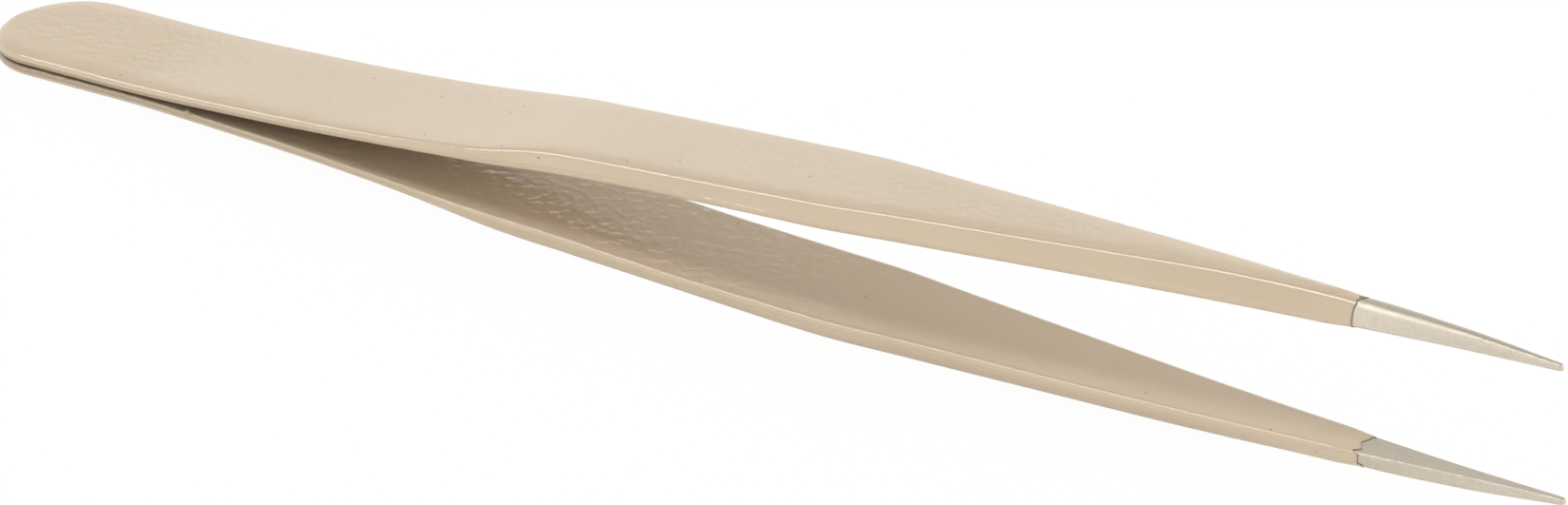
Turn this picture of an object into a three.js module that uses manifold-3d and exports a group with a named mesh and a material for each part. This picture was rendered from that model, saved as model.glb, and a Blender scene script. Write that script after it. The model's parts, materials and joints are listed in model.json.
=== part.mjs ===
// Fine-point tweezers: two sprung steel arms welded together at the heel and dipped in epoxy,
// which leaves the ground tips bare. Millimetres, +Z up.
//
// The arms are drawn about their own middle plane: s runs from the heel (0) to the tips along X,
// +Y is across, and the upper arm lies at +Z. A last group lays the tweezers down on the lower arm,
// which touches at its heel end and at its belly, so that the tips stand a little up.
//
// Each arm is one springy strip. It is parted at FLEX_S, in the middle of the stretch that bends,
// and the front half turns there on the heel half.

import * as THREE from "three";
import { mergeVertices } from "three/addons/utils/BufferGeometryUtils.js";
import Module from "manifold-3d";

// Driving dimensions
const LENGTH = 128; // heel end to tips
const COAT = 0.12; // thickness of the epoxy
const PLAY = 0.02; // clearance between steel and epoxy, and between steel and weld
const SKIN = COAT + PLAY; // how far the epoxy stands outside the steel
const COAT_END = 113; // s where the epoxy stops and the bare tip begins
const FLEX_S = 30; // s of the bending axis
const FLEX_GAP = 0.3; // width of the parting at the bending axis
const REST_TILT = Math.atan(0.057); // slope of the heel-to-belly line on the lower arm

const STRIP_HALF_WIDTH = 5.2; // steel, at the heel
const STRIP_INNER_Z = 0.22; // steel inner face above the middle plane, at the welds
const STRIP_THICKNESS = 0.48; // steel, at the heel
const HEEL_ROUND = 5.2; // depth of the rounded heel end
const WELD_END = 13; // s where the arms start to part
const TIP_RADIUS = 0.2; // plan radius of the point
const INNER_ROUND = 0.1; // radius along the inner edges of the steel
const STRIP_OUTER_ROUND = 0.22; // radius along the outer edges of the steel, at the heel
const STRIP_FACET_INSET = 0.33; // from the steel's side to the centre of that radius

const WELD_DIAMETER = 3;
const WELD_WINDOW = 3.3; // opening in the epoxy around a weld
const WELD_S = { rear_weld: 5, front_weld: 10.5 };

const INNER_ARC = 2; // points on an inner edge radius
const OUTER_ARC = 4; // points on an outer edge radius
const HEEL_ROWS = 9; // rows of points round the heel end
const TIP_ROWS = 3; // rows of points round the tip
const BACK_ROWS = [9, 13, 17, 21.5, 26, 30, 33, 36, 40, 44, 46, 48, 50, 52]; // s, closer at bends
const FRONT_ROWS = [72, 74, 77, 80, 84, 88, 92, 97, 101, 105, 108, 111, 115, 117, 120, 124];

// The flat belly of the steel lies on one line with the heel end, offset in by the epoxy.
const heelReach =
  (STRIP_INNER_Z + STRIP_THICKNESS - STRIP_OUTER_ROUND) * Math.cos(REST_TILT) -
  (SKIN + STRIP_FACET_INSET) * Math.sin(REST_TILT) +
  STRIP_OUTER_ROUND +
  SKIN;
const bellyZ = (s) => heelReach / Math.cos(REST_TILT) + s * Math.tan(REST_TILT) - SKIN;
const BELLY = [54, 56, 68, 70]; // stations on the straight stretch of the outer face
const ROWS = [...BACK_ROWS, ...BELLY, ...FRONT_ROWS];

// Profiles of the steel: [s, value], with a smooth curve between.
const halfWidth = smooth([
  [HEEL_ROUND, STRIP_HALF_WIDTH],
  [45, STRIP_HALF_WIDTH],
  [52, 4.85],
  [72, 4.72],
  [80, 4.1],
  [100, 2.44],
  [113, 1.32],
  [120, 0.68],
  [LENGTH - TIP_RADIUS, TIP_RADIUS],
]);
const facetHalfWidth = smooth([
  [HEEL_ROUND, STRIP_HALF_WIDTH - STRIP_FACET_INSET],
  [44, 4.85],
  [52, 4.1],
  [72, 3.85],
  [80, 3.1],
  [97, 1.45],
  [108, 0.35],
  [114, 0.03],
  [LENGTH, 0.03],
]);
const innerZ = smooth([
  [0, STRIP_INNER_Z],
  [WELD_END, STRIP_INNER_Z],
  [26, 0.66],
  [44, 1.84],
  [61, 2.97],
  [79, 3.6],
  [106, 4.33],
  [116, 4.42],
  [LENGTH, 4.45],
]);
const outerZ = smooth([
  [0, STRIP_INNER_Z + STRIP_THICKNESS],
  [WELD_END, STRIP_INNER_Z + STRIP_THICKNESS],
  [26, 1.13],
  [36, 1.76],
  [44, 2.6],
  [50, 3.44],
  ...BELLY.map((s) => [s, bellyZ(s)]),
  [88, 5.38],
  [106, 5.9],
  [113, 5.9],
  [120, 5.62],
  [LENGTH, 4.91],
]);
const outerRound = smooth([
  [0, STRIP_OUTER_ROUND],
  [44, STRIP_OUTER_ROUND],
  [52, 0.3],
  [80, 0.36],
  [97, 0.5],
  [108, 0.9],
  [114, 1],
  [120, 0.6],
  [LENGTH, 0.18],
]);

// Cubic curve through stations [s, value] that never swings past them.
function smooth(stations) {
  const last = stations.length - 1;
  const slope = (i) => (stations[i + 1][1] - stations[i][1]) / (stations[i + 1][0] - stations[i][0]);
  const tangents = stations.map((_, i) => {
    const before = slope(Math.max(i - 1, 0));
    const after = slope(Math.min(i, last - 1));
    return before * after > 0 ? (2 * before * after) / (before + after) : 0;
  });
  return (s) => {
    if (s <= stations[0][0]) return stations[0][1];
    if (s >= stations[last][0]) return stations[last][1];
    const i = stations.findIndex((station) => station[0] > s) - 1;
    const span = stations[i + 1][0] - stations[i][0];
    const t = (s - stations[i][0]) / span;
    return (
      stations[i][1] * (1 + 2 * t) * (1 - t) ** 2 +
      stations[i + 1][1] * t * t * (3 - 2 * t) +
      span * tangents[i] * t * (1 - t) ** 2 -
      span * tangents[i + 1] * t * t * (1 - t)
    );
  };
}

// Points of the steel's outline in plan, on the +Y side, each with its inward normal.
function outline(from, to) {
  const rows = [];
  const quarter = Math.PI / 2;
  if (from <= 0) {
    for (let i = 0; i < HEEL_ROWS; i++) {
      const a = (quarter * i) / HEEL_ROWS;
      const normal = new THREE.Vector2(
        Math.cos(a) / HEEL_ROUND,
        -Math.sin(a) / STRIP_HALF_WIDTH,
      ).normalize();
      const x = SKIN + HEEL_ROUND * (1 - Math.cos(a));
      rows.push({ x, y: STRIP_HALF_WIDTH * Math.sin(a), normal });
    }
  }
  const inside = ROWS.filter((s) => s > from && s < to);
  const straight = [Math.max(from, SKIN + HEEL_ROUND), ...inside, Math.min(to, LENGTH - TIP_RADIUS)];
  for (const s of straight) {
    rows.push({ x: s, y: halfWidth(s), normal: new THREE.Vector2(0, -1) });
  }
  if (to >= LENGTH) {
    for (let i = 1; i <= TIP_ROWS; i++) {
      const a = (quarter * i) / TIP_ROWS;
      const normal = new THREE.Vector2(-Math.sin(a), -Math.cos(a));
      const x = LENGTH - TIP_RADIUS + TIP_RADIUS * Math.sin(a);
      rows.push({ x, y: TIP_RADIUS * Math.cos(a), normal });
    }
  }
  return rows;
}

// The closed ring of points round the steel at one row of the outline, grown outwards by grow.
// The section is the hull of four circles: a small one at each inner edge, a larger at each outer edge.
function ring({ x, y, normal }, grow) {
  const inner = { inset: INNER_ROUND, z: innerZ(x) + INNER_ROUND, radius: INNER_ROUND };
  const radius = outerRound(x);
  const outer = { inset: halfWidth(x) - facetHalfWidth(x), z: outerZ(x) - radius, radius };
  const run = outer.inset - inner.inset;
  const drop = inner.z - outer.z;
  const side =
    Math.atan2(drop, run) + Math.acos((outer.radius - inner.radius) / Math.hypot(run, drop));
  const right = [];
  const arc = (circle, start, end, count) => {
    for (let i = 0; i < count; i++) {
      const a = start + ((end - start) * i) / (count - 1);
      const reach = circle.radius + grow;
      const inset = circle.inset - reach * Math.cos(a);
      const z = circle.z + reach * Math.sin(a);
      right.push(new THREE.Vector3(x + normal.x * inset, y + normal.y * inset, z));
    }
  };
  arc(inner, -Math.PI / 2, side, INNER_ARC);
  arc(outer, side, Math.PI / 2, OUTER_ARC);
  const left = right.map((p) => new THREE.Vector3(p.x, -p.y, p.z)).reverse();
  return [...right, ...left];
}

// Joins rings into one closed solid. An inner skin, if there is one, makes it a shell.
// An open end gets a rim between the skins, or a cap; an end whose ring has closed on itself needs neither.
function closedGeometry(outerRings, innerRings = []) {
  const points = [...outerRings, ...innerRings].flat();
  const count = outerRings[0].length;
  const faces = [];
  const quad = (a, b, c, d) => faces.push([a, b, c], [a, c, d]);
  const skin = (first, rows, inward) => {
    for (let r = 0; r < rows - 1; r++) {
      for (let i = 0; i < count; i++) {
        const j = (i + 1) % count;
        const [a, b] = [first + r * count, first + (r + 1) * count];
        if (inward) quad(a + i, b + i, b + j, a + j);
        else quad(a + i, a + j, b + j, b + i);
      }
    }
  };
  const end = (ringAt, isLast) => {
    const shift = outerRings.length * count;
    if (innerRings.length) {
      for (let i = 0; i < count; i++) {
        const [here, next] = isLast ? [i, (i + 1) % count] : [(i + 1) % count, i];
        quad(ringAt + here, ringAt + next, ringAt + next + shift, ringAt + here + shift);
      }
    } else {
      for (let i = 0; i < count / 2 - 1; i++) {
        const [here, next] = isLast ? [i, i + 1] : [i + 1, i];
        quad(ringAt + here, ringAt + next, ringAt + count - 1 - next, ringAt + count - 1 - here);
      }
    }
  };
  const isOpen = (points) => Math.abs(points[0].y) > 1e-6;
  skin(0, outerRings.length, false);
  if (innerRings.length) skin(outerRings.length * count, innerRings.length, true);
  if (isOpen(outerRings[0])) end(0, false);
  if (isOpen(outerRings.at(-1))) end((outerRings.length - 1) * count, true);
  return merged(points, faces);
}

// Merges the points that meet where a ring closes on itself, and drops the faces that vanish there.
function merged(points, faces) {
  const places = new Map();
  const kept = [];
  const index = points.map((p) => {
    const key = p.toArray().map((value) => Math.round(value * 1e4)).join();
    if (!places.has(key)) {
      places.set(key, kept.length);
      kept.push(p);
    }
    return places.get(key);
  });
  const triangles = faces
    .map((face) => face.map((i) => index[i]))
    .filter(([a, b, c]) => a !== b && b !== c && c !== a);
  return new THREE.BufferGeometry().setFromPoints(kept).setIndex(triangles.flat());
}

// Booleans, by manifold-3d
const wasm = await Module();
wasm.setup();

function solidOf(geometry) {
  const bare = geometry.clone();
  for (const name of ["normal", "uv"]) bare.deleteAttribute(name);
  const whole = mergeVertices(bare, 1e-4);
  return new wasm.Manifold(
    new wasm.Mesh({
      numProp: 3,
      vertProperties: whole.attributes.position.array,
      triVerts: new Uint32Array(whole.index.array),
    }),
  );
}

function geometryOf(solid) {
  const mesh = solid.getMesh();
  return new THREE.BufferGeometry()
    .setAttribute("position", new THREE.BufferAttribute(mesh.vertProperties, 3))
    .setIndex(new THREE.BufferAttribute(mesh.triVerts, 1));
}

// Materials
const steel = new THREE.MeshStandardMaterial({ color: 0xd2cabd, roughness: 0.32, metalness: 1 });
const epoxy = new THREE.MeshStandardMaterial({ color: 0xdccbb5, roughness: 0.38, metalness: 0 });

// One arm's pieces, drawn for the upper arm
function steelBlade() {
  return closedGeometry(outline(FLEX_S + FLEX_GAP / 2, LENGTH).map((row) => ring(row, 0)));
}

function steelHeel() {
  return closedGeometry(outline(0, FLEX_S - FLEX_GAP / 2).map((row) => ring(row, 0)));
}

function coatBlade() {
  const rows = outline(FLEX_S + FLEX_GAP / 2, COAT_END);
  return closedGeometry(
    rows.map((row) => ring(row, SKIN)),
    rows.map((row) => ring(row, PLAY)),
  );
}

// The heel's epoxy is open on its inner face where the welds pass through.
function coatHeel() {
  const rows = outline(0, FLEX_S - FLEX_GAP / 2);
  let coat = solidOf(
    closedGeometry(
      rows.map((row) => ring(row, SKIN)),
      rows.map((row) => ring(row, PLAY)),
    ),
  );
  const top = STRIP_INNER_Z - PLAY / 2;
  const bottom = -STRIP_INNER_Z;
  for (const s of Object.values(WELD_S)) {
    const window = new THREE.CylinderGeometry(WELD_WINDOW / 2, WELD_WINDOW / 2, top - bottom, 24);
    window.rotateX(Math.PI / 2).translate(s, 0, (top + bottom) / 2);
    coat = coat.subtract(solidOf(window));
  }
  return geometryOf(coat);
}

function spotWeld(s) {
  const height = 2 * (STRIP_INNER_Z - PLAY);
  const nugget = new THREE.CylinderGeometry(WELD_DIAMETER / 2, WELD_DIAMETER / 2, height, 24);
  return nugget.rotateX(Math.PI / 2).translate(s, 0, 0);
}

function piece(name, geometry, material) {
  const shape = geometry.clone();
  shape.computeVertexNormals();
  const mesh = new THREE.Mesh(shape, material);
  mesh.name = name;
  return mesh;
}

// Assembly: the lower arm is the upper one turned over about the middle line
const tweezers = new THREE.Group();
for (const [side, turn] of [["upper", 0], ["lower", Math.PI]]) {
  const arm = new THREE.Group();
  arm.add(
    piece(`${side}_heel_steel`, steelHeel(), steel),
    piece(`${side}_arm_steel`, steelBlade(), steel),
    piece(`${side}_heel_coating`, coatHeel(), epoxy),
    piece(`${side}_arm_coating`, coatBlade(), epoxy),
  );
  arm.rotation.x = turn;
  tweezers.add(arm);
}
for (const [name, s] of Object.entries(WELD_S)) tweezers.add(piece(name, spotWeld(s), steel));

// Laid on the lower arm, with the origin under the middle of the whole
const part = new THREE.Group();
tweezers.rotation.y = -REST_TILT;
part.add(tweezers);
const box = new THREE.Box3().setFromObject(part, true);
tweezers.position.set(-(box.min.x + box.max.x) / 2, 0, -box.min.z);

export default part;
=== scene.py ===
import json
import math
import random

import bmesh
import bpy
import numpy as np
from mathutils import Matrix, Vector


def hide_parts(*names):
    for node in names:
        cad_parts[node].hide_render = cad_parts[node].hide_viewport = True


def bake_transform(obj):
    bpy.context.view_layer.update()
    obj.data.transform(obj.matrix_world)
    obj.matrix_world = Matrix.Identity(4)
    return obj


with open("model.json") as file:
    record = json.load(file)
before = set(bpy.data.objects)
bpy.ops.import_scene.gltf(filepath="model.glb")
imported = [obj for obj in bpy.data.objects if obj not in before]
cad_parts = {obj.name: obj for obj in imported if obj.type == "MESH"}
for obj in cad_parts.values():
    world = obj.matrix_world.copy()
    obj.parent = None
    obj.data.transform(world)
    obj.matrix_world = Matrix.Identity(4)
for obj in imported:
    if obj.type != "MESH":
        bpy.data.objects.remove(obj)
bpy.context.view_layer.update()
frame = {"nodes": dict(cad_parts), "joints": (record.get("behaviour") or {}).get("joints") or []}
print("frame loaded")

mm = 0.001

# the two hinges stand on either side of the tweezers' middle plane and show how it lies
joints = {j["name"]: j for j in frame["joints"]}
upperPivot = Vector(joints["upper_flex"]["pos_m"])
lowerPivot = Vector(joints["lower_flex"]["pos_m"])
upAxis = (upperPivot - lowerPivot).normalized()
tilt = math.atan2(-upAxis.x, upAxis.z)
flexStation = 30.0  # mm from the heel to the bending axis
middle = (upperPivot + lowerPivot) / 2
aboutFlex = Matrix.Translation((-flexStation * mm, 0, 0))
layDown = Matrix.Translation(middle) @ Matrix.Rotation(-tilt, 4, "Y") @ aboutFlex


def place(x, y, z):  # a point of the tweezers' own frame, in mm, as a point of the scene
    return layDown @ Vector((x * mm, y * mm, z * mm))


# the bare steel of the upper arm, in mm: each profile is a list of (distance from the heel, value)
arm = {
    "length": 128.0,
    "coat": 0.14,  # epoxy stands this far outside the steel
    "play": 0.02,  # between the steel and the inner skin of the epoxy
    "heelRound": 5.2,  # how far the rounding of the heel end reaches along the arm
    "tipRadius": 0.2,
    # rounding of the edges of the inner face
    "innerRound": [(0, 0.1), (36, 0.1), (50, 0.2), (105, 0.22), (116, 0.12), (124, 0.1),
                   (128, 0.1)],
    # half the width of the arm, and half the width of the flat of its outer face
    "halfWidth": [(5.2, 5.2), (45, 5.2), (52, 4.85), (72, 4.72), (80, 4.1), (100, 2.44), (113, 1.32),
                  (120, 0.68), (127.8, 0.2)],
    "outerFlat": [(5.2, 4.87), (44, 4.85), (52, 4.1), (72, 3.85), (80, 3.1), (97, 1.45), (108, 0.35),
                  (114, 0.03), (128, 0.03)],
    # height of the inner face over the middle plane, then of the outer face as far as the belly
    "innerZ": [(0, 0.22), (13, 0.22), (26, 0.66), (44, 1.84), (61, 2.97), (79, 3.6), (106, 4.33),
               (116, 4.42), (128, 4.45)],
    "outerZ": [(0, 0.7), (13, 0.7), (26, 1.13), (36, 1.76), (44, 2.6), (50, 3.44)],
    "rollReach": 1.1,  # the outer face rolls off over this width, as sheared strip does
    "rollDrop": 0.05,  # and drops by this much
    "leastReach": 0.001,  # where the outer face has no width left
    "belly": (54, 56, 68, 70),  # straight stretch, on the line through the heel end
    "bellyStart": 0.6737,  # where that line meets the heel, and its slope
    "bellySlope": 0.057,
    # the outer face in front of the belly, and the rounding of its edges
    "outerZFront": [(88, 5.38), (106, 5.9), (113, 5.9), (120, 5.62), (128, 4.91)],
    "outerRound": [(0, 0.3), (36, 0.3), (52, 0.42), (80, 0.42), (97, 0.42), (108, 0.62), (114, 0.85),
                   (120, 0.6), (128, 0.18)],
}


def smooth(stations):  # a curve through every station that never goes past one
    s, v = np.array(stations, float).T
    slope = np.diff(v) / np.diff(s)
    before, after = np.r_[slope[0], slope], np.r_[slope, slope[-1]]
    both = before * after > 0
    tangent = np.where(both, 2 * before * after / np.where(both, before + after, 1), 0)

    def at(x):
        x = np.clip(x, s[0], s[-1])
        i = np.clip(np.searchsorted(s, x, side="right") - 1, 0, len(s) - 2)
        span = s[i + 1] - s[i]
        t = (x - s[i]) / span
        return (v[i] * (1 + 2 * t) * (1 - t) ** 2 + v[i + 1] * t * t * (3 - 2 * t)
                + span * tangent[i] * t * (1 - t) ** 2 - span * tangent[i + 1] * t * t * (1 - t))

    return at


halfWidth = smooth(arm["halfWidth"])
outerFlat = smooth(arm["outerFlat"])
innerZ = smooth(arm["innerZ"])
innerRound = smooth(arm["innerRound"])
outerRound = smooth(arm["outerRound"])
bellyLine = [(s, arm["bellyStart"] + arm["bellySlope"] * s) for s in arm["belly"]]
outerZ = smooth(arm["outerZ"] + bellyLine + arm["outerZFront"])
heelEnd = arm["coat"] + arm["heelRound"]
tipStart = arm["length"] - arm["tipRadius"]


def outline(u):  # u is the distance from the heel; it runs round the heel end and round the point
    half = math.pi / 2
    heel = np.clip(u / heelEnd, 0, 1) * half
    tip = np.clip((u - tipStart) / arm["tipRadius"], 0, 1) * half
    isHeel, isTip = u < heelEnd, u > tipStart
    wide = halfWidth(heelEnd)
    nx, ny = np.cos(heel) / arm["heelRound"], -np.sin(heel) / wide
    size = np.hypot(nx, ny)
    x = np.where(isHeel, arm["coat"] + arm["heelRound"] * (1 - np.cos(heel)), u)
    x = np.where(isTip, tipStart + arm["tipRadius"] * np.sin(tip), x)
    y = np.where(isHeel, wide * np.sin(heel), halfWidth(u))
    y = np.where(isTip, arm["tipRadius"] * np.cos(tip), y)
    normalX = np.where(isHeel, nx / size, np.where(isTip, -np.sin(tip), 0))
    normalY = np.where(isHeel, ny / size, np.where(isTip, -np.cos(tip), -1))
    return x, y, normalX, normalY


# Points across half a section, from the middle of the inner face to the middle of the outer one.
# "face" points share out a flat, "arc" points go round an edge, "side" points join the two edges.
acrossFlat = (0, 0.2, 0.4, 0.58, 0.7, 0.79, 0.86, 0.91, 0.95, 0.985)
section = [("innerFace", t) for t in acrossFlat]
section += [("innerArc", t) for t in np.linspace(0, 1, 6)]
section += [("side", t) for t in (0.04, 0.25, 0.5, 0.75, 0.96)]
section += [("outerArc", t) for t in np.linspace(0, 1, 11)]
section += [("outerFace", t) for t in reversed(acrossFlat)]


def surface(u, grow):  # closed rings round the arm, each point set outwards by its own grow
    half = len(section)
    count = u.shape[1]
    out = np.zeros(u.shape + (3,))
    for j in range(count):
        isLeft = j >= half
        kind, t = section[j if not isLeft else 2 * half - 2 - j]
        x, y, nx, ny = outline(u[:, j])
        g = grow[:, j]
        inner, outer = innerRound(x), outerRound(x)
        innerInset, outerInset = inner, halfWidth(x) - outerFlat(x)
        span = np.abs(y) - outerInset  # half the width of the outer face
        reach = np.minimum(arm["rollReach"], np.maximum(span, arm["leastReach"]))
        drop = arm["rollDrop"] * reach / arm["rollReach"]
        slope = np.arctan(2 * drop / reach)
        innerCentre, outerCentre = innerZ(x) + inner, outerZ(x) - drop - outer
        # the side is the straight line that touches the circles of both edges
        run, fall = outerInset - innerInset, innerCentre - outerCentre
        lean = np.arctan2(fall, run) + np.arccos(np.clip((outer - inner) / np.hypot(run, fall), -1, 1))

        def arc(inset, z, radius, a):
            return inset - (radius + g) * np.cos(a), z + (radius + g) * np.sin(a)

        across = 1
        if kind == "innerFace":
            d, z = arc(innerInset, innerCentre, inner, -math.pi / 2)
            across = t
        elif kind == "innerArc":
            d, z = arc(innerInset, innerCentre, inner, -math.pi / 2 + (lean + math.pi / 2) * t)
        elif kind == "side":
            d0, z0 = arc(innerInset, innerCentre, inner, lean)
            d1, z1 = arc(outerInset, outerCentre, outer, lean)
            d, z = d0 + (d1 - d0) * t, z0 + (z1 - z0) * t
        elif kind == "outerArc":
            d, z = arc(outerInset, outerCentre, outer, lean + (math.pi / 2 - slope - lean) * t)
        else:
            d, z = arc(outerInset, outerCentre, outer, math.pi / 2 - slope)
            away = np.clip((1 - t) * span / reach, 0, 1)
            z = z + drop * (1 - (1 - away) ** 2)
            across = t
        out[:, j, 0] = x + nx * d
        out[:, j, 1] = (y + ny * d) * across * (-1 if isLeft else 1)
        out[:, j, 2] = z
    return out


ringCount = 2 * len(section) - 2


def rowStations(start, end, step, close):  # close has the centre, reach and step of finer rows
    rows = list(np.arange(start, end, step)) + [end]
    for centre, reach, fine in close:
        rows += list(np.arange(centre - reach, centre + reach, fine))
    return np.unique(np.round([r for r in rows if start <= r <= end], 4))


def gridOf(rows):
    return np.repeat(np.array(rows, float)[:, None], ringCount, axis=1)


def skinFaces(first, rows, inward):
    r, j = np.meshgrid(np.arange(rows - 1), np.arange(ringCount), indexing="ij")
    k = (j + 1) % ringCount
    a, b = first + r * ringCount, first + (r + 1) * ringCount
    quads = [a + j, a + k, b + k, b + j]
    if inward:
        quads.reverse()
    return np.stack(quads, -1).reshape(-1, 4).tolist()


def rimFaces(outerRing, innerRing):  # joins the two skins at the front
    faces = []
    for j in range(ringCount):
        k = (j + 1) % ringCount
        faces.append([outerRing + j, outerRing + k, innerRing + k, innerRing + j])
    return faces


def makeMesh(name, points, faces, attributes, material):
    mesh = bpy.data.meshes.new(name)
    mesh.from_pydata([tuple(p) for p in points], [], faces)
    for label, values in attributes.items():
        values = np.asarray(values, np.float32)
        kind = "FLOAT_VECTOR" if values.ndim == 2 else "FLOAT"
        slot = mesh.attributes.new(label, kind, "POINT")
        slot.data.foreach_set("vector" if values.ndim == 2 else "value", values.ravel())
    mesh.materials.append(material)
    obj = bpy.data.objects.new(name, mesh)
    bpy.context.scene.collection.objects.link(obj)
    closeEnds(mesh)
    mesh.polygons.foreach_set("use_smooth", [True] * len(mesh.polygons))
    mesh.update()
    return obj


closing = {"merge": 2e-7, "sliver": 1e-8}  # m, points and edges this small are joined


def closeEnds(mesh):  # merges the points where a ring has closed on itself
    shape = bmesh.new()
    shape.from_mesh(mesh)
    bmesh.ops.remove_doubles(shape, verts=shape.verts, dist=closing["merge"])
    bmesh.ops.dissolve_degenerate(shape, edges=shape.edges, dist=closing["sliver"])
    shape.to_mesh(mesh)
    shape.free()


def toScene(points, side):  # the lower arm is the upper one turned over about the middle line
    p = points * mm
    if side == "lower":
        p = p * (1, -1, -1)
    m = np.array(layDown)
    return p @ m[:3, :3].T + m[:3, 3]


texture = {"lowerShift": (0.0, 7.0, 0.0), "lowerAlong": 20.0}  # cm, so that the arms don't match


def armPlace(points, side):  # the place that the textures go by, in cm
    shift = np.array(texture["lowerShift"]) if side == "lower" else 0
    return points / 10 + shift


coating = {
    "end": 113.0,  # mean station of the front edge
    "edgeWander": 0.32,  # how far the front edge steps forward or back, mm
    "edgeSteps": 26,
    "edgeJitter": 0.08,  # radians by which each step may be early or late
    "seed": {"upper": 3, "lower": 5},
    "waveReach": 5.0,  # how far back the rows follow the wave
    "thinning": 2.2,  # the film thins over this length towards its edge
    "edgeGrow": 0.05,  # height of the film's edge over the steel
    "lip": 0.07,  # rounding of the edge
    "lipDrop": 0.8,  # share of the edge's height that is rounded off
    "edgeTint": 0.09,  # width of the dark line at the edge
    "rowStep": 0.5,
    "edgeRows": (1.2, 0.1),  # reach and step of the finer rows at the front edge
    "heelRows": (3.0, 3.0, 0.14),  # and centre, reach and step of those round the heel end
    "innerHeel": 3.3,  # the hidden inner skin keeps every row this near the heel end,
    "innerFront": 1.3,  # every row this near the front edge,
    "innerBetween": (3.5, 111.5, 3.0),  # and few between: from, to, step
    "calmRipple": 0.25,  # outer faces and the front of the inner ones dried smoother
    "rippled": (52.0, 76.0),  # stations between which the inner faces grow smooth
    "paintedGapShade": (14.0, 46.0),  # stations between which the shade painted on the inner faces, far into the gap, fades out
}

# a bead on the inner edge of the lower arm, where a drip dried
bead = {
    "station": 20.0,
    "reach": 0.26,
    "height": 0.25,
    "points": 2.8,  # half its width, in points of the ring
    "steepness": 1.5,
    "rows": (0.8, 0.06),  # reach and step of the finer rows
}


def frontEdge(angle, side):  # the dipped edge steps about a little round the arm, in mm from its mean
    draw = random.Random(coating["seed"][side])
    steps, jitter = coating["edgeSteps"], coating["edgeJitter"]
    early = [0] + [draw.uniform(-jitter, jitter) for _ in range(steps)]
    turns = np.linspace(0, 2 * math.pi, steps + 1) + np.array(early)
    shifts = [draw.uniform(-1, 1) for _ in range(steps)]
    wander = np.interp(angle, turns, shifts + shifts[:1], period=2 * math.pi)
    return coating["edgeWander"] * wander


def followEdge(u, side):  # rows near the front bend to the shape of the front edge
    angle = np.linspace(0, 2 * math.pi, ringCount, endpoint=False)[None, :]
    near = np.clip((u - coating["end"] + coating["waveReach"]) / coating["waveReach"], 0, 1) ** 2
    return u + frontEdge(angle, side) * near


def filmGrow(stations, toEdge, side):  # how far the film's outer skin is outside the steel
    thin = np.clip(1 - toEdge / coating["thinning"], 0, 1)
    grow = arm["coat"] + (coating["edgeGrow"] - arm["coat"]) * thin * thin * (3 - 2 * thin)
    lip = np.clip(1 - toEdge / coating["lip"], 0, 1)
    grow = grow - (coating["edgeGrow"] - arm["play"]) * coating["lipDrop"] * lip ** 2
    if side == "lower":
        nearEdge = [kind for kind, t in section].index("innerArc") + 1
        around = (np.arange(ringCount)[None, :] - nearEdge) / bead["points"]
        far = np.hypot((stations - bead["station"]) / bead["reach"], around)
        grow = grow + bead["height"] * np.exp(-far ** 2 * bead["steepness"])
    return grow


def skinPlace(points, side):  # how far along the arm and round the section each point is, in cm
    step = np.linalg.norm(np.diff(points, axis=1, prepend=points[:, :1]), axis=2)
    along = points[..., 0] / 10 + (texture["lowerAlong"] if side == "lower" else 0)
    return np.stack([along, np.cumsum(step, axis=1) / 10, np.zeros_like(along)], -1).reshape(-1, 3)


def innerFaceMasks(points):  # where the film is rippled, and where shade is painted on the inner faces far into the gap
    innerHalf = [kind for kind, t in section].index("side")
    ring = np.arange(ringCount)
    inside = np.where((ring < innerHalf) | (ring > ringCount - innerHalf), 1.0, 0.0)
    isInside = np.tile(inside, len(points) // ringCount)
    calm = coating["calmRipple"]
    ripple = calm + (1 - calm) * isInside * np.interp(points[:, 0], coating["rippled"], (1, 0))
    # painted shade on the inner faces, strongest near the heel where the gap between the arms is narrow
    paintedGapShade = isInside * np.interp(points[:, 0], coating["paintedGapShade"], (1, 0))
    return ripple, paintedGapShade


def coatSkin(side):  # an outer and a hidden inner skin, joined by a rim at the front edge
    close = [(coating["end"], *coating["edgeRows"]), coating["heelRows"]]
    if side == "lower":
        close.append((bead["station"], *bead["rows"]))
    rows = rowStations(0, coating["end"], coating["rowStep"], close)
    stations = gridOf(rows)
    toEdge = np.clip(coating["end"] - stations, 0, None)
    outer = surface(followEdge(stations, side), filmGrow(stations, toEdge, side))

    isKept = (rows > coating["end"] - coating["innerFront"]) | (rows < coating["innerHeel"])
    innerRows = np.unique(np.r_[rows[isKept], np.arange(*coating["innerBetween"])])
    innerStations = gridOf(innerRows)
    play = np.full(innerStations.shape, arm["play"])
    inner = surface(followEdge(innerStations, side), play)

    points = np.concatenate([outer.reshape(-1, 3), inner.reshape(-1, 3)])
    shift = len(rows) * ringCount
    faces = skinFaces(0, len(rows), False) + skinFaces(shift, len(innerRows), True)
    faces += rimFaces(shift - ringCount, shift + (len(innerRows) - 1) * ringCount)
    dark = np.exp(-(toEdge / coating["edgeTint"]) ** 2).ravel()
    ripple, paintedGapShade = innerFaceMasks(points)
    attributes = {
        "armPlace": armPlace(points, side),
        "skinPlace": np.concatenate([skinPlace(outer, side), skinPlace(inner, side)]),
        "coatEdge": np.concatenate([dark, np.ones(innerStations.size)]),
        "ripple": ripple,
        # the painted shade in the gap between the arms
        "paintedGapShade": paintedGapShade,
    }
    return makeMesh(side + "_coat", toScene(points, side), faces, attributes, epoxy)


strips = {
    "rowStep": 3.0,
    "closeRows": [(3.0, 3.0, 0.3), (119.0, 9.0, 0.4), (127.8, 0.6, 0.04)],  # heel end, bare tip, point
}


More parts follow.
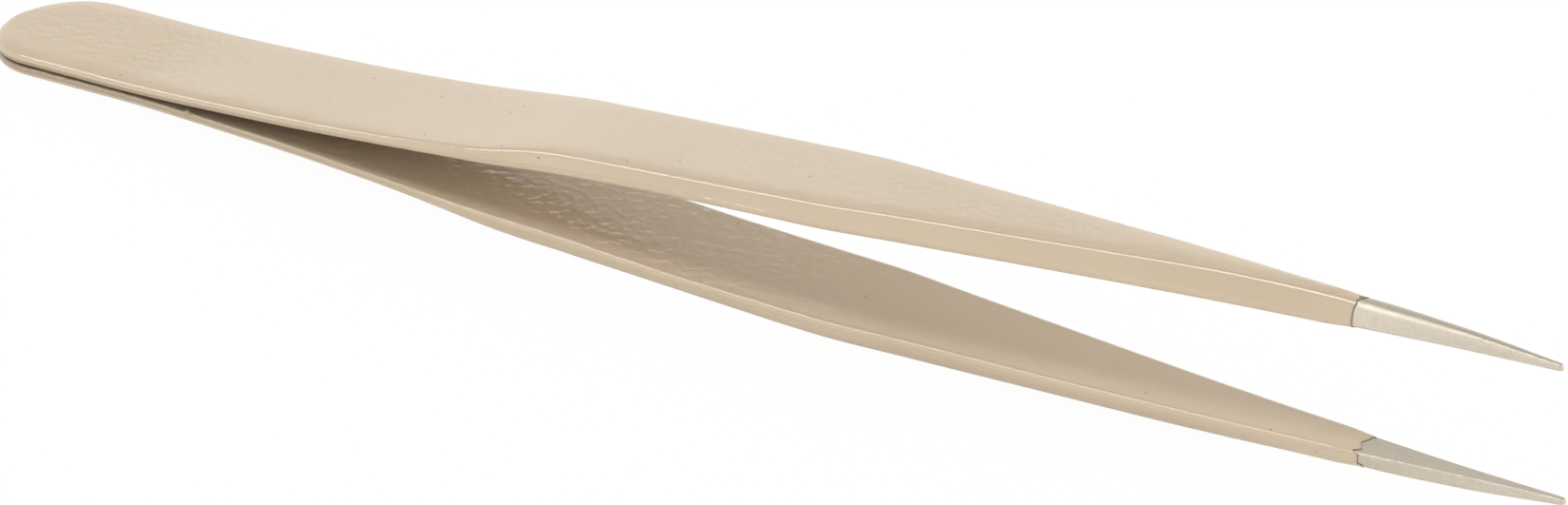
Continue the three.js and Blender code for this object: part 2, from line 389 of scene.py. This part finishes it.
def steelStrip(side):
    rows = rowStations(0, arm["length"], strips["rowStep"], strips["closeRows"])
    u = gridOf(rows)
    points = surface(u, np.zeros(u.shape)).reshape(-1, 3)
    attributes = {"armPlace": armPlace(points, side)}
    faces = skinFaces(0, len(rows), False)
    return makeMesh(side + "_strip", toScene(points, side), faces, attributes, steel)


def newGroup(name, inputs, outputs):
    group = bpy.data.node_groups.new(name, "ShaderNodeTree")
    for label, kind, value in inputs:
        socket = group.interface.new_socket(label, in_out="INPUT", socket_type=kind)
        if value is not None:
            socket.default_value = value
    for label, kind in outputs:
        group.interface.new_socket(label, in_out="OUTPUT", socket_type=kind)
    return group, group.nodes.new("NodeGroupInput"), group.nodes.new("NodeGroupOutput")


def add(tree, kind, links=None, **settings):
    node = tree.nodes.new(kind)
    for key, value in settings.items():
        setattr(node, key, value)
    for key, value in (links or {}).items():
        if isinstance(value, bpy.types.NodeSocket):
            tree.links.new(value, node.inputs[key])
        else:
            node.inputs[key].default_value = value
    return node


def makeMottle():  # slow light and dark drift, for tone and gloss
    group, given, result = newGroup(
        "mottle",
        [("Vector", "NodeSocketVector", None), ("Scale", "NodeSocketFloat", 3.0),
         ("Low", "NodeSocketFloat", 0.0), ("High", "NodeSocketFloat", 1.0)],
        [("Value", "NodeSocketFloat")],
    )
    noise = add(group, "ShaderNodeTexNoise",
                {"Vector": given.outputs["Vector"], "Scale": given.outputs["Scale"], "Detail": 4.0})
    spread = add(group, "ShaderNodeMapRange",
                 {"Value": noise.outputs["Fac"], "From Min": 0.3, "From Max": 0.7,
                  "To Min": given.outputs["Low"], "To Max": given.outputs["High"]})
    group.links.new(spread.outputs["Result"], result.inputs["Value"])
    return group


def makeRelief():  # height of a surface texture, stretched by Stretch
    group, given, result = newGroup(
        "relief",
        [("Vector", "NodeSocketVector", None), ("Stretch", "NodeSocketVector", (1, 1, 1)),
         ("Scale", "NodeSocketFloat", 20.0), ("Detail", "NodeSocketFloat", 2.0)],
        [("Height", "NodeSocketFloat")],
    )
    stretched = add(group, "ShaderNodeVectorMath",
                    {0: given.outputs["Vector"], 1: given.outputs["Stretch"]}, operation="MULTIPLY")
    noise = add(group, "ShaderNodeTexNoise",
                {"Vector": stretched.outputs["Vector"], "Scale": given.outputs["Scale"],
                 "Detail": given.outputs["Detail"]})
    group.links.new(noise.outputs["Fac"], result.inputs["Height"])
    return group


def makeSpecks():  # sparse small dots, for pinholes
    group, given, result = newGroup(
        "specks",
        [("Vector", "NodeSocketVector", None), ("Scale", "NodeSocketFloat", 8.0),
         ("Size", "NodeSocketFloat", 0.05), ("Share", "NodeSocketFloat", 0.1)],
        [("Mask", "NodeSocketFloat")],
    )
    cells = add(group, "ShaderNodeTexVoronoi",
                {"Vector": given.outputs["Vector"], "Scale": given.outputs["Scale"]},
                voronoi_dimensions="2D")
    dot = add(group, "ShaderNodeMath", {0: cells.outputs["Distance"], 1: given.outputs["Size"]},
              operation="LESS_THAN")
    tone = add(group, "ShaderNodeSeparateColor", {"Color": cells.outputs["Color"]})
    chosen = add(group, "ShaderNodeMath", {0: tone.outputs["Red"], 1: given.outputs["Share"]},
                 operation="LESS_THAN")
    mask = add(group, "ShaderNodeMath", {0: dot.outputs["Value"], 1: chosen.outputs["Value"]},
               operation="MULTIPLY")
    group.links.new(mask.outputs["Value"], result.inputs["Mask"])
    return group


mottle, relief, specks = makeMottle(), makeRelief(), makeSpecks()


def useGroup(tree, group, links):
    return add(tree, "ShaderNodeGroup", links, node_tree=group)


def newMaterial(name):
    material = bpy.data.materials.new(name)
    material.use_nodes = True
    return material, material.node_tree, material.node_tree.nodes["Principled BSDF"]


def mix(tree, factor, a, b):  # sockets 0, 6 and 7 take the factor and the two colours
    return add(tree, "ShaderNodeMix", {0: factor, 6: a, 7: b}, data_type="RGBA").outputs[2]


beige = {
    "light": (0.565, 0.458, 0.332, 1),
    "dark": (0.545, 0.441, 0.317, 1),
    "edge": (0.16, 0.13, 0.10, 1),
    "speck": (0.20, 0.15, 0.10, 1),
    # painted shade: the inner faces far into the narrow gap near the heel take this darker colour
    "paintedGapShade": (0.38, 0.30, 0.21, 1),
    "toneScale": 1.6,
    "roughness": (0.05, 0.09),
    "glossScale": 2.4,
    "specular": 0.5,
    "pinholes": {"Scale": 3.0, "Size": 0.022, "Share": 0.14},
    "peel": {"Scale": 13.0, "Detail": 1.0},
    "peelBump": {"Strength": 0.9, "Distance": 0.0001},
    "grit": {"Scale": 45.0, "Detail": 2.0},
    "gritBump": {"Strength": 0.1, "Distance": 0.00002},
}


def makeEpoxy():
    material, tree, shader = newMaterial("dippedEpoxy")
    at = add(tree, "ShaderNodeAttribute", attribute_name="armPlace").outputs["Vector"]
    edge = add(tree, "ShaderNodeAttribute", attribute_name="coatEdge").outputs["Fac"]
    tone = useGroup(tree, mottle, {"Vector": at, "Scale": beige["toneScale"]}).outputs["Value"]
    colour = mix(tree, tone, beige["dark"], beige["light"])
    spread = add(tree, "ShaderNodeAttribute", attribute_name="skinPlace").outputs["Vector"]
    dots = useGroup(tree, specks, {"Vector": spread, **beige["pinholes"]}).outputs["Mask"]
    paintedGapShade = add(tree, "ShaderNodeAttribute", attribute_name="paintedGapShade").outputs["Fac"]
    # painted shade far into the gap between the arms
    colour = mix(tree, paintedGapShade, colour, beige["paintedGapShade"])
    colour = mix(tree, dots, colour, beige["speck"])
    colour = mix(tree, edge, colour, beige["edge"])
    tree.links.new(colour, shader.inputs["Base Color"])
    low, high = beige["roughness"]
    scale = beige["glossScale"]
    gloss = useGroup(tree, mottle, {"Vector": at, "Scale": scale, "Low": low, "High": high})
    tree.links.new(gloss.outputs["Value"], shader.inputs["Roughness"])
    peel = useGroup(tree, relief, {"Vector": at, **beige["peel"]}).outputs["Height"]
    ripple = add(tree, "ShaderNodeAttribute", attribute_name="ripple").outputs["Fac"]
    waves = add(tree, "ShaderNodeMath", {0: peel, 1: ripple}, operation="MULTIPLY").outputs["Value"]
    slow = add(tree, "ShaderNodeBump", {"Height": waves, **beige["peelBump"]}).outputs["Normal"]
    fine = useGroup(tree, relief, {"Vector": at, **beige["grit"]}).outputs["Height"]
    bump = add(tree, "ShaderNodeBump", {"Height": fine, "Normal": slow, **beige["gritBump"]})
    tree.links.new(bump.outputs["Normal"], shader.inputs["Normal"])
    shader.inputs["Specular IOR Level"].default_value = beige["specular"]
    return material


bareSteel = {
    "light": (0.65, 0.59, 0.50, 1),
    "dark": (0.57, 0.515, 0.435, 1),
    "toneScale": 60.0,
    "roughness": (0.48, 0.56),
    "glossScale": 12.0,
    "grinding": {"Stretch": (0.25, 1, 1), "Scale": 160.0, "Detail": 2.0},
    "grindingBump": {"Strength": 0.35, "Distance": 0.00002},
}


def makeSteel(name, attribute=None):  # without an attribute it goes by the object's own place
    material, tree, shader = newMaterial(name)
    if attribute:
        at = add(tree, "ShaderNodeAttribute", attribute_name=attribute).outputs["Vector"]
    else:
        at = add(tree, "ShaderNodeTexCoord").outputs["Object"]
    tone = useGroup(tree, mottle, {"Vector": at, "Scale": bareSteel["toneScale"]}).outputs["Value"]
    colour = mix(tree, tone, bareSteel["dark"], bareSteel["light"])
    tree.links.new(colour, shader.inputs["Base Color"])
    low, high = bareSteel["roughness"]
    scale = bareSteel["glossScale"]
    gloss = useGroup(tree, mottle, {"Vector": at, "Scale": scale, "Low": low, "High": high})
    tree.links.new(gloss.outputs["Value"], shader.inputs["Roughness"])
    ground = useGroup(tree, relief, {"Vector": at, **bareSteel["grinding"]}).outputs["Height"]
    bump = add(tree, "ShaderNodeBump", {"Height": ground, **bareSteel["grindingBump"]})
    tree.links.new(bump.outputs["Normal"], shader.inputs["Normal"])
    shader.inputs["Metallic"].default_value = 1.0
    return material


epoxy = makeEpoxy()
steel = makeSteel("satinSteel", "armPlace")
weldSteel = makeSteel("weldSteel")
print("materials made")

for side in ("upper", "lower"):
    coat = coatSkin(side)
    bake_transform(coat)
    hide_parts(side + "_heel_coating", side + "_arm_coating")
    strip = steelStrip(side)
    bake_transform(strip)
    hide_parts(side + "_heel_steel", side + "_arm_steel")
    print(side, "arm made:", len(coat.data.polygons), "+", len(strip.data.polygons), "faces")

for name in ("rear_weld", "front_weld"):
    node = frame["nodes"][name]
    node.data.materials.clear()
    node.data.materials.append(weldSteel)
print("welds finished")

stage = {
    "reach": 3.0,
    "drop": 0.00002,  # m below the tweezers' lowest point
    "colour": (0.8, 0.8, 0.8, 1),
    "roughness": 0.9,
    "specular": 0.1,
    "white": (1, 1, 1, 1),
    "glow": 0.2,
    "shine": 0.96,  # share of plain white in what is seen of the floor itself
}


def makeFloor():
    reach = stage["reach"]
    mesh = bpy.data.meshes.new("floor")
    corners = [(-reach, -reach, 0), (reach, -reach, 0), (reach, reach, 0), (-reach, reach, 0)]
    mesh.from_pydata(corners, [], [(0, 1, 2, 3)])
    obj = bpy.data.objects.new("floor", mesh)
    bpy.context.scene.collection.objects.link(obj)
    material, tree, shader = newMaterial("paleFloor")
    shader.inputs["Base Color"].default_value = stage["colour"]
    shader.inputs["Roughness"].default_value = stage["roughness"]
    shader.inputs["Specular IOR Level"].default_value = stage["specular"]
    shader.inputs["Emission Color"].default_value = stage["white"]
    shader.inputs["Emission Strength"].default_value = stage["glow"]
    white = add(tree, "ShaderNodeEmission", {"Color": stage["white"], "Strength": 1.0})
    seen = add(tree, "ShaderNodeLightPath").outputs["Is Camera Ray"]
    share = add(tree, "ShaderNodeMath", {0: seen, 1: stage["shine"]}, operation="MULTIPLY")
    both = add(tree, "ShaderNodeMixShader",
               {0: share.outputs["Value"], 1: shader.outputs["BSDF"], 2: white.outputs["Emission"]})
    tree.links.new(both.outputs["Shader"], tree.nodes["Material Output"].inputs["Surface"])
    mesh.materials.append(material)
    obj.location.z = -stage["drop"]


studio = {
    "colour": (1.0, 0.99, 0.97, 1),
    # a white tent round the tweezers: (height of the direction, brightness)
    "tent": [(0.0, 1.24), (0.32, 1.26), (0.4, 0.72), (0.72, 0.72), (0.86, 0.12), (1.0, 0.12)],
    # a square lamp on its roof, whose sides are sideways distances over height
    "overhead": {"across": (-0.46, -0.16), "along": (-1.15, -0.4), "soft": 0.05, "above": (0.05, 0.15),
                 "strength": 9.5},
    # round lamps: direction, cosines of the angles where each starts and is full, strength
    "spots": [((0.75, 0.35, 0.55), 0.60, 0.90, 1.15), ((-0.525, -0.72, 0.45), 0.92, 0.99, 0.55)],
}


def softStep(tree, value, start, full):  # 0 at start, 1 at full
    return add(tree, "ShaderNodeMapRange", {"Value": value, "From Min": start, "From Max": full},
               interpolation_type="SMOOTHSTEP").outputs["Result"]


def times(tree, *values):
    total = values[0]
    for value in values[1:]:
        total = add(tree, "ShaderNodeMath", {0: total, 1: value}, operation="MULTIPLY").outputs["Value"]
    return total


def makeWorld():
    world = bpy.data.worlds.new("studio")
    bpy.context.scene.world = world
    world.use_nodes = True
    tree = world.node_tree
    at = add(tree, "ShaderNodeTexCoord").outputs["Generated"]
    box = studio["overhead"]
    parts = add(tree, "ShaderNodeSeparateXYZ", {"Vector": at}).outputs
    mask = softStep(tree, parts["Z"], *box["above"])
    for axis, (low, high) in (("Y", box["across"]), ("X", box["along"])):
        lean = add(tree, "ShaderNodeMath", {0: parts[axis], 1: parts["Z"]}, operation="DIVIDE")
        lean = lean.outputs["Value"]
        mask = times(tree, mask, softStep(tree, lean, low - box["soft"], low + box["soft"]),
                     softStep(tree, lean, high + box["soft"], high - box["soft"]))
    lights = [times(tree, mask, box["strength"])]
    for towards, start, full, strength in studio["spots"]:
        lined = add(tree, "ShaderNodeVectorMath", {0: at, 1: Vector(towards).normalized()},
                    operation="DOT_PRODUCT").outputs["Value"]
        lights.append(times(tree, softStep(tree, lined, start, full), strength))
    tent = studio["tent"]
    total = tent[0][1]
    for (low, before), (high, after) in zip(tent, tent[1:]):
        lights.append(times(tree, softStep(tree, parts["Z"], low, high), after - before))
    for light in lights:
        total = add(tree, "ShaderNodeMath", {0: total, 1: light}, operation="ADD").outputs["Value"]
    tree.links.new(total, tree.nodes["Background"].inputs["Strength"])
    tree.nodes["Background"].inputs["Color"].default_value = studio["colour"]


view = {
    "azimuth": 36.295,
    "elevation": 26.672,
    "distance": 0.64,  # m
    "lens": 221,
    "sensor": 36.0,
    "near": 0.01,  # m, nothing nearer is drawn
    "aimRight": 2.48,  # mm from the tweezers' middle to the middle of the picture
    "aimDown": 2.26,
}


def makeCamera():
    a, e = math.radians(view["azimuth"]), math.radians(view["elevation"])
    ahead = Vector((-math.sin(a) * math.cos(e), math.cos(a) * math.cos(e), -math.sin(e)))
    right = Vector((math.cos(a), math.sin(a), 0))
    up = right.cross(ahead)
    centre = place(arm["length"] / 2, 0, 0)
    aim = centre + right * view["aimRight"] * mm - up * view["aimDown"] * mm
    data = bpy.data.cameras.new("camera")
    data.lens = view["lens"]
    data.sensor_width = view["sensor"]
    data.sensor_fit = "HORIZONTAL"
    data.clip_start = view["near"]
    obj = bpy.data.objects.new("camera", data)
    obj.location = aim - ahead * view["distance"]
    obj.rotation_euler = ahead.to_track_quat("-Z", "Y").to_euler()
    bpy.context.scene.collection.objects.link(obj)
    bpy.context.scene.camera = obj


makeFloor()
makeWorld()
makeCamera()
bpy.context.scene.view_settings.view_transform = "Standard"
print("stage, light and camera made")
